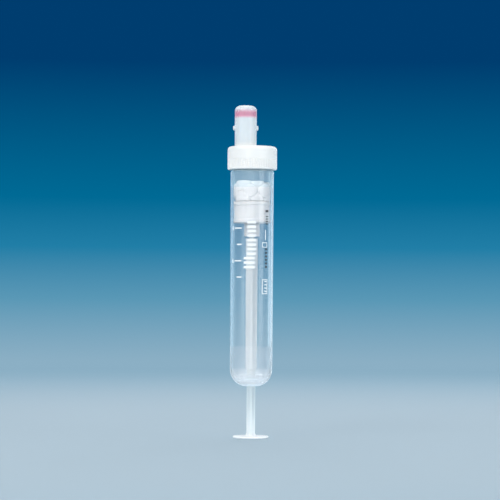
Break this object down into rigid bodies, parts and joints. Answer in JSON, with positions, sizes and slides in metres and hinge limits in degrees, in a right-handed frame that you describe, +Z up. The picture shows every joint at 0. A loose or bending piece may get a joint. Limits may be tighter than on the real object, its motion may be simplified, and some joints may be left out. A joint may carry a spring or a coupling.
{
  "type": "blood collection tube",
  "caption": "Clear syringe-type blood collection tube with an off-centre nozzle on its screw cap, a plunger that draws the sample in, and clot activator beads.",
  "frame": {"origin": "centre of the thumb disc's underside, on which the tube stands", "axes": "+Z up along the tube, from the thumb disc to the nozzle; the nozzle stands off the tube's axis towards -X; the graduation faces -Y"},
  "size_m": [0.0184, 0.0184, 0.123],
  "materials": {
    "clear_plastic": "clear, polished, faintly blue",
    "clear_film": "clear film, glossy, with white and dark print",
    "white_cap_plastic": "white, satin",
    "grey_rubber": "matt",
    "pink_rubber": "matt pink-red",
    "milky_plastic": "milky, a little translucent",
    "rod_plastic": "milky white, satin",
    "white_beads": "white, matt"
  },
  "bodies": {
    "barrel": {"tube": "clear_plastic", "label_film": "clear_film"},
    "plunger": {"piston": "milky_plastic", "plunger_rod": "rod_plastic", "clot_beads": "white_beads"},
    "cap_seal": {"sealing_ring": "grey_rubber"},
    "cap": {"screw_cap": "white_cap_plastic", "membrane": "pink_rubber"}
  },
  "joints": [
    {"name": "plunger_draw", "type": "slide", "parent": "barrel", "child": "plunger", "axis": [0, 0, -1], "range_m": [0, 0.0537]},
    {"name": "cap_lift", "type": "slide", "parent": "barrel", "child": "cap_seal", "axis": [0, 0, 1], "range_m": [0, 0.006]},
    {"name": "cap_turn", "type": "hinge", "parent": "cap_seal", "child": "cap", "pos_m": [0, 0, 0.1], "axis": [0, 0, 1], "range_deg": [0, 720]}
  ],
  "couplings": [
    {"joint": "cap_turn", "follows": "cap_lift", "rad_per_m": 2094.4}
  ]
}
